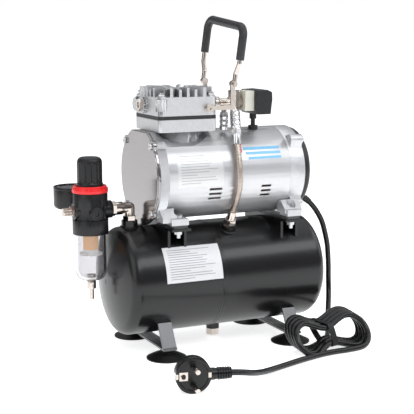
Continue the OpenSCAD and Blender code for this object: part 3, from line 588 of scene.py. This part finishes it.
FRONT = PLUG_TURN @ Vector((0, 1, 0))
SIDE = PLUG_TURN @ Vector((1, 0, 0))
face_profile = [(0, 0.9), (14.2, 0.9), (14.8, 0.3), (15.4, 0), (17.6, 0), (18.2, 0.25), (18.5, 0.9),
                (18.5, 5.6), (18.1, 6.0), (18.1, 6.7), (18.5, 7.1), (18.5, 11.2), (18.2, 12.2),
                (17.2, 13.4), (16.5, 15.2), (15.4, 17.0), (13.0, 18.8), (9.5, 19.7), (5, 20), (0, 20)]


def grip_dips(a, height, radius):
    """Shallow dips for the fingers on the plug's two flanks."""
    side = abs(math.cos(a))
    return -0.9 * max(0.0, (side - 0.86) / 0.14) if 0.5 < height < 13 and radius > 17 else 0.0


plug_parts = [lathe(face_profile, PLUG, FRONT, 96, grip_dips)]
sleeve = [(0, 10), (6.4, 10), (6.2, 22), (5.6, 24.4), (5.4, 25.4)]
for rib in range(5):
    start, size = 25.6 + 2.6 * rib, 6.5 - 0.1 * rib
    core = size - 1.5
    sleeve += [(size, start + 0.2), (size, start + 1.5), (core, start + 1.7), (core, start + 2.5)]
sleeve += [(6.1, 38.8), (5.6, 39.6), (3.6, 40.2), (0, 40.2)]
plug_parts.append(lathe(sleeve, plug_at((0, 8, -1.5)), SIDE, 40))
plug_shell = mesh_piece("plug_shell", *join(*plug_parts), looks["cord_pvc"], "cord_pvc",
                        replaced=("plug_body",))
# metal earth socket left of the pins, and the earth springs on the two flanks
EARTH_X, EARTH_HALF, EARTH_STEPS = -10.2, 4.3, 32
earth = []
for k in range(EARTH_STEPS):
    a = 2 * math.pi * k / EARTH_STEPS
    reach = EARTH_HALF / max(abs(math.cos(a)), abs(math.sin(a)))
    for r, y in ((2.3, 0.9), (2.3, 0.1), (2.7, -0.1), (reach, -0.1), (reach, 0.9)):
        earth.append(plug_at((EARTH_X + r * math.cos(a), y, r * math.sin(a))))
count = len(earth)
earth_faces = [(q, q + 1, (q + 6) % count, (q + 5) % count) for q in range(count) if q % 5 < 4]
earth_frame = mesh_piece("earth_contact", earth, earth_faces, looks["nickel"], "nickel")
springs = []
for x in (-17.9, 17.1):
    springs.append(box(x, x + 0.8, 0.6, 9.5, -3.2, 3.2, plug_at))
    springs.append(box(min(x, x * 0.86), max(x + 0.8, x * 0.86), -0.15, 0.7, -2.6, 2.6, plug_at))
earth_springs = mesh_piece("earth_springs", *join(*springs), looks["nickel"], "nickel", smooth=0, bevel=0.2)
collar = [(2.45, 0.9), (2.45, -0.5), (3.1, -0.5), (3.4, 0), (3.4, 0.95)]
collars = [lathe(collar, plug_at((0, 0, z)), FRONT, 32) for z in (-PIN_Z, PIN_Z)]
pin_collars = mesh_piece("pin_collars", *join(*collars), looks["cord_pvc"], "cord_pvc")

# ---------- braided air hose ----------
HOSE = [(10, -44, 228), (9.2, -48.6, 219.5), (8.6, -52.4, 210.5), (8.2, -55, 201), (8, -55.4, 191.5),
        (8, -53.8, 181.5), (8.1, -50, 173), (8.3, -45.8, 165.6), (8.5, -41.6, 159.8),
        (8.5, -37.74, 154.04)]
hose_line = smooth_line([at(*p) for p in HOSE], 20)
mesh_piece("hose_core", *tube(hose_line[::4], 3.25, 20), shadow_black, "braid", replaced=("air_hose",))


def braid(line, radius, strands, turns, lay, width):
    """Wire bands wound both ways round a line, passing over and under each other."""
    verts, faces = [], []
    rings = frames(line)
    for direction in (1, -1):
        for s in range(strands):
            start = len(verts)
            for i, (p, _, side, third) in enumerate(rings):
                t = i / (len(rings) - 1)
                a = direction * 2 * math.pi * turns * t + 2 * math.pi * s / strands
                weave = math.cos(strands * turns * 2 * math.pi * t + math.pi * s) * direction
                for edge in (-1, 0, 1):
                    b = a + edge * width / radius
                    r = radius + lay * weave + (0.12 if edge == 0 else 0)
                    verts.append(p + (side * math.cos(b) + third * math.sin(b)) * r * MM)
            for i in range(len(rings) - 1):
                for e in range(2):
                    q = start + i * 3 + e
                    faces.append((q, q + 1, q + 4, q + 3))
    return verts, faces


mesh_piece("hose_braid", *braid(hose_line, 3.5, 10, 7, 0.08, 0.75), looks["braid"], "braid", smooth=60)

# ---------- tank ----------
seam = [(60.02, -2.6), (60.3, -2.1), (60.34, -1.3), (60.05, -0.9), (60.0, 0.3), (60.2, 0.7), (60.34, 1.5),
        (60.28, 2.1), (60.02, 2.5)]


def ripple(a, height, radius):
    """The weld's fine scales, on its two raised beads only."""
    return 0.08 * math.sin(a * 150 + height) if radius > 60.1 else 0.0


seam_ring, seam_faces = lathe(seam, at(SEAM_X, 0, TANK_Z), (1, 0, 0), 360, ripple)
seam_faces = [f for f in seam_faces if len(f) == 4]
mesh_piece("tank_seam_weld", seam_ring, seam_faces, looks["tank_black"], "tank_black", smooth=60)


def weld_round(centre, axis, radius, bead):
    """A closed bead where a round boss meets the tank's side."""
    axis, side, third = basis(axis)
    points = []
    for k in range(72):
        a = 2 * math.pi * k / 72
        p = centre + (side * math.cos(a) + third * math.sin(a)) * radius * MM
        flat = Vector((0, p.y, p.z - TANK_Z * MM))
        out = flat.normalized() * (TANK_R + 0.15 * math.sin(9 * a)) * MM
        points.append(Vector((p.x, out.y, out.z + TANK_Z * MM)))
    return tube(points, bead, 10, closed=True)


# the hose's boss leans forward round the tank; the others stand above and below it
tilt = math.radians(26.7)
hose_axis = Vector((0, -math.sin(tilt), math.cos(tilt)))
beads = [weld_round(at(8.5, 0, TANK_Z) + hose_axis * TANK_R * MM, hose_axis, 8.4, 1.2),
         weld_round(at(-99.5, 0, TANK_Z + TANK_R), (0, 0, 1), 9.4, 1.3),
         weld_round(at(2, 0, TANK_Z - TANK_R), (0, 0, -1), 7.9, 1.2)]
mesh_piece("boss_welds", *join(*beads), looks["tank_black"], "tank_black", smooth=60)


def patch(name, x0, x1, z0, z1, centre_z, radius, look, slot):
    """A thin label wrapped on the front of a lying cylinder."""
    steps = 24
    verts, uvs, faces = [], [], []
    low, high = (math.asin((z - centre_z) / radius) for z in (z0, z1))
    for r in (radius + 0.12, radius + 0.02):
        for i in range(steps + 1):
            for j in range(steps + 1):
                u, v = i / steps, j / steps
                a = low + (high - low) * v
                x = x0 + (x1 - x0) * u
                verts.append(at(x, -r * math.cos(a), centre_z + r * math.sin(a)))
                uvs.append((u, v))
    size = steps + 1
    for i in range(steps):
        for j in range(steps):
            q = i * size + j
            faces.append((q, q + size, q + size + 1, q + 1))
    total = size * size
    rim = [i * size for i in range(size)] + [steps * size + j for j in range(1, size)]
    rim += [i * size + steps for i in range(steps - 1, -1, -1)] + [j for j in range(steps - 1, 0, -1)]
    for a, b in zip(rim, rim[1:] + rim[:1]):
        faces.append((b, a, a + total, b + total))
    return mesh_piece(name, verts, faces, look, slot, uvs=uvs)


patch("tank_label", -80, -13.5, 84.5, 120.5, TANK_Z, TANK_R, label_white, "white_plastic")
patch("rating_label", -62, -8, 185, 222, MOTOR_Z, SLEEVE_R, label_silver, "white_plastic")
for band, (z0, z1) in enumerate(((221.5, 224.2), (216.5, 219.2), (211.5, 214.2))):
    patch(f"stripe_blue_{band}", 20 + 2 * band, 65, z0, z1, MOTOR_Z, SLEEVE_R, stripe_blue, "silver_paint")
patch("stripe_red", 13.5, 18, 219, 226, MOTOR_Z, SLEEVE_R, stripe_red, "silver_paint")

# ---------- regulator ----------
reg = at(REG_X, 0, 0)


def flutes(a, height, radius):
    """Twelve finger grooves that run out at the knob's top and foot."""
    if radius < 8 or not 190.5 < height < 216:
        return 0.0
    return -1.1 * max(0.0, math.cos(12 * a)) ** 2 * min(1.0, (216 - height) / 4, (height - 190.5) / 3)


knob = [(0, 190.3), (11.5, 190.3), (11.5, 185.6), (14.1, 185.6), (14.2, 186.5), (14.2, 189.4),
        (13.9, 190.2), (13.6, 190.7)]
knob += [(13.6, 191 + k) for k in range(1, 21)]
knob += [(13.45, 213.2), (13.1, 214.6), (12.4, 216), (11.4, 217.1), (10, 217.8), (8.4, 217.9)]
knob += [(7.6, 217.4), (0, 217.3)]
mesh_piece("knob_shell", *lathe(knob, reg, (0, 0, 1), 144, flutes), looks["reg_black"], "reg_black",
           body="knob", smooth=50, replaced=("regulator_knob",))


def threaded(x_from, x_to, core, crest, pitch, centre):
    """An outside thread along X, open at both ends."""
    rows = int((x_to - x_from) / pitch * 12)
    segments = 48
    verts, faces = [], []
    for i in range(rows + 1):
        x = x_from + (x_to - x_from) * i / rows
        fade = min(1.0, (x - x_from) / 1.2, (x_to - x) / 0.8)
        for k in range(segments):
            a = 2 * math.pi * k / segments
            phase = ((x / pitch) - a / 2 / math.pi) % 1
            r = core + (crest - core) * max(0.0, 1 - abs(phase - 0.5) * 2.4) * fade
            verts.append(centre + Vector((x, r * math.cos(a), r * math.sin(a))) * MM)
    for i in range(rows):
        for k in range(segments):
            a, b = i * segments + k, i * segments + (k + 1) % segments
            faces.append((a, a + segments, b + segments, b))
    return verts, faces


def hex_prism(x0, x1, radius, centre, chamfer=0.8):
    """A hexagon along X with both ends chamfered."""
    axis, side, third = basis((1, 0, 0))
    verts, faces = [], []
    inner, half = radius - chamfer, chamfer * 0.5
    for height, r in ((x0, inner), (x0 + half, radius), (x1 - half, radius), (x1, inner)):
        for k in range(6):
            a = math.pi * k / 3
            verts.append(centre + (side * math.cos(a) + third * math.sin(a)) * r * MM + axis * height * MM)
    for i in range(3):
        for k in range(6):
            a, b = i * 6 + k, i * 6 + (k + 1) % 6
            faces.append((a, b, b + 6, a + 6))
    faces += [tuple(range(5, -1, -1)), tuple(range(18, 24))]
    return verts, faces


port = at(REG_X, 0, PORT_Z)
nipple = [threaded(-31.0, -22.3, 4.2, 4.85, 0.907, port),
          lathe([(2.6, -31.0), (2.6, -31.4), (4.0, -31.4), (4.2, -31.0)], port, (1, 0, 0), 48),
          lathe([(2.6, -31.4), (2.6, -24), (0, -24)], port, (1, 0, 0), 48),
          hex_prism(-22.6, -19.05, 7.0, port)]
mesh_piece("outlet_nipple", *join(*nipple), looks["nickel"], "nickel", bevel=0.15,
           replaced=("regulator_nipple",))
front_port = at(REG_X, -20.6, PORT_Z - 1)
hollow = [(5.4, 0.2), (5.4, -0.5), (4.8, -1.1), (2.9, -1.1), (2.6, -0.7), (2.6, 1.0), (0, 1.0)]
socket = lathe(hollow, front_port, (0, 1, 0), 6)
rim = lathe([(6.2, 0.4), (6.2, -0.2), (5.8, -0.5), (5.0, -0.5), (5.0, 0.4)], front_port, (0, 1, 0), 40)
mesh_piece("port_plug", *join(socket, rim), looks["reg_black"], "reg_black", smooth=30)

# ---------- gauge ----------
dial = at(GAUGE[0], GAUGE[1], DIAL_Z)
DIAL_START, DIAL_SWEEP, DIAL_STEPS = 225, 270, 50
marks = []
for step in range(DIAL_STEPS + 1):
    a = math.radians(DIAL_START - step * DIAL_SWEEP / DIAL_STEPS)
    big = step % 5 == 0
    inner, outer, half = (14.2 if big else 15.6), 17.2, (0.34 if big else 0.16)
    d, n = Vector((math.cos(a), math.sin(a), 0)), Vector((-math.sin(a), math.cos(a), 0))
    outline = ((inner, -half), (outer, -half), (outer, half), (inner, half))
    corners = [dial + (d * r + n * w) * MM + Vector((0, 0, h * MM))
               for h in (0.05, 0.14) for r, w in outline]
    sides = [(k, (k + 1) % 4, (k + 1) % 4 + 4, k + 4) for k in range(4)]
    marks.append((corners, [(3, 2, 1, 0), (4, 5, 6, 7)] + sides))
mesh_piece("dial_marks", *join(*marks), ink_black, "cover_plastic", smooth=0)
for number in range(6):
    a = math.radians(DIAL_START - number * DIAL_SWEEP / 5)
    text = bpy.data.curves.new(f"dial_number_{number}", "FONT")
    text.body = str(number * 2)
    text.size = 3.4 * MM
    text.extrude = 0.05 * MM
    text.align_x, text.align_y = "CENTER", "CENTER"
    figure = bpy.data.objects.new(f"dial_number_{number}", text)
    bpy.context.scene.collection.objects.link(figure)
    figure.location = dial + Vector((math.cos(a) * 11.6, math.sin(a) * 11.6, 0.12)) * MM
    finish_piece(figure, ink_black)
bezel = [(21.5, 5.5), (21.62, 6.2), (21.62, 8.0), (21.3, 8.6), (20.6, 8.75), (19.9, 8.6), (19.65, 8.2),
         (19.65, 7.2)]
bezel_ring, bezel_faces = lathe(bezel, dial, (0, 0, 1), 96)
bezel_faces = [f for f in bezel_faces if len(f) == 4]
mesh_piece("gauge_bezel", bezel_ring, bezel_faces, looks["reg_black"], "reg_black", smooth=50)

# ---------- the CAD's own nodes ----------
slots = {entry["node"]: entry["material_slot"] for entry in frame["record"]["subparts"]}
OWN_LOOK = {"foot_bars": "bar_enamel", "drain_plug": "nickel"}
# nodes whose hanging barrels are chromed: the height range of the chrome, in millimetres
CHROMED = {"hose_fittings": (215, 300), "manifold": (240, 264)}
BEVELS = {"cylinder_block": 0.5, "cylinder_head": 0.35, "end_plate": 0.3, "crankcase": 0.4,
          "rear_bell": 0.5, "switch_block": 0.4, "switch_cover": 0.8, "foot_bars": 0.35,
          "motor_saddles": 0.35, "motor_pads": 0.5, "regulator_body": 0.4, "regulator_ring": 0.5,
          "manifold": 0.3, "hose_fittings": 0.3, "inlet_elbow": 0.3, "motor_bolts": 0.35,
          "drain_plug": 0.4, "intake_plug": 0.3, "handle_straps": 0.3, "end_plate_screws": 0.3,
          "head_bolts": 0.3, "gauge_case": 0.4, "plug_pins": 0.9, "bowl_drain": 0.25, "fan_cover": 0.3,
          "cup_screws": 0.2, "handle_grip": 0.4, "motor_housing": 0.2, "head_gasket": 0.2,
          "cord_gland": 0.3}
for name, obj in NODES.items():
    if not obj.data.materials:
        obj.data.materials.append(None)
    for holder in obj.material_slots:
        holder.material = looks[OWN_LOOK.get(name, slots[name])]
    if name in CHROMED:
        obj.data.materials.append(looks["chrome"])
        low, high = CHROMED[name]
        for polygon in obj.data.polygons:
            if low < (obj.matrix_world @ polygon.center).z / MM < high:
                polygon.material_index = len(obj.data.materials) - 1
    if name in BEVELS:
        weld = obj.modifiers.new("weld", "WELD")
        weld.merge_threshold = 0.00001
        cut = obj.modifiers.new("edges", "BEVEL")
        cut.width = BEVELS[name] * MM
        cut.segments = 2
        cut.limit_method = "ANGLE"
        cut.angle_limit = math.radians(32)
        cut.harden_normals = True

# ---------- studio ----------
floor_look, floor_tree, floor_shader = blank("studio_floor", 0.0)
floor_place = node(floor_tree, "TexCoord")
floor_cloud = node(floor_tree, "TexNoise", Scale=3.0, Detail=2.0)
floor_tree.links.new(floor_place.outputs["Object"], floor_cloud.inputs["Vector"])
floor_colour = ramp(floor_tree, floor_cloud.outputs["Fac"], (0.9, 0.9, 0.9), (0.93, 0.93, 0.93))
floor_tree.links.new(floor_colour, floor_shader.inputs["Base Color"])
floor_shader.inputs["Roughness"].default_value = 0.8
floor_shader.inputs["Emission Color"].default_value = (1, 1, 1, 1)
floor_shader.inputs["Emission Strength"].default_value = 0.72
floor_mesh = bpy.data.meshes.new("studio_floor")
far = 60
corners = [(-far, -far, 0), (far, -far, 0), (far, far, 0), (-far, far, 0)]
floor_mesh.from_pydata(corners, [], [(0, 1, 2, 3)])
floor = bpy.data.objects.new("studio_floor", floor_mesh)
bpy.context.scene.collection.objects.link(floor)
floor.data.materials.append(floor_look)


def softbox(name, place, target, width, height, power, colour=(1, 1, 1)):
    """An area light; width and height are in metres, power in watts."""
    light = bpy.data.lights.new(name, "AREA")
    light.shape = "RECTANGLE"
    light.size, light.size_y = width, height
    light.energy = power
    light.color = colour
    obj = bpy.data.objects.new(name, light)
    bpy.context.scene.collection.objects.link(obj)
    aim(obj, place, target)


middle = at(0, 0, 150)
softbox("key", at(350, -1100, 1150), middle, 2.0, 0.5, 11, (0.93, 0.96, 1.0))
softbox("top", at(0, 100, 1600), middle, 1.8, 1.2, 7)
softbox("left", at(-1400, -500, 700), middle, 0.9, 1.2, 3.5)
softbox("right", at(1300, -200, 800), middle, 0.8, 1.1, 4)
# the world reflects as a dark wall under a bright ceiling, and shows white to the camera
world = bpy.data.worlds.new("studio")
bpy.context.scene.world = world
world.use_nodes = True
tree = world.node_tree
back = tree.nodes["Background"]
way = tree.nodes.new("ShaderNodeTexCoord")
height = tree.nodes.new("ShaderNodeSeparateXYZ")
tree.links.new(way.outputs["Generated"], height.inputs["Vector"])
sky = ramp(tree, height.outputs["Z"], (0.16, 0.16, 0.17), (0.62, 0.63, 0.65), 0.05, 0.75)
tree.links.new(sky, back.inputs["Color"])
back.inputs["Strength"].default_value = 1.0
seen = tree.nodes.new("ShaderNodeBackground")
seen.inputs["Color"].default_value = (1, 1, 1, 1)
seen.inputs["Strength"].default_value = 1.0
rays = tree.nodes.new("ShaderNodeLightPath")
choose = tree.nodes.new("ShaderNodeMixShader")
tree.links.new(rays.outputs["Is Camera Ray"], choose.inputs["Fac"])
tree.links.new(back.outputs["Background"], choose.inputs[1])
tree.links.new(seen.outputs["Background"], choose.inputs[2])
tree.links.new(choose.outputs["Shader"], tree.nodes["World Output"].inputs["Surface"])
bpy.context.scene.view_settings.view_transform = "Standard"
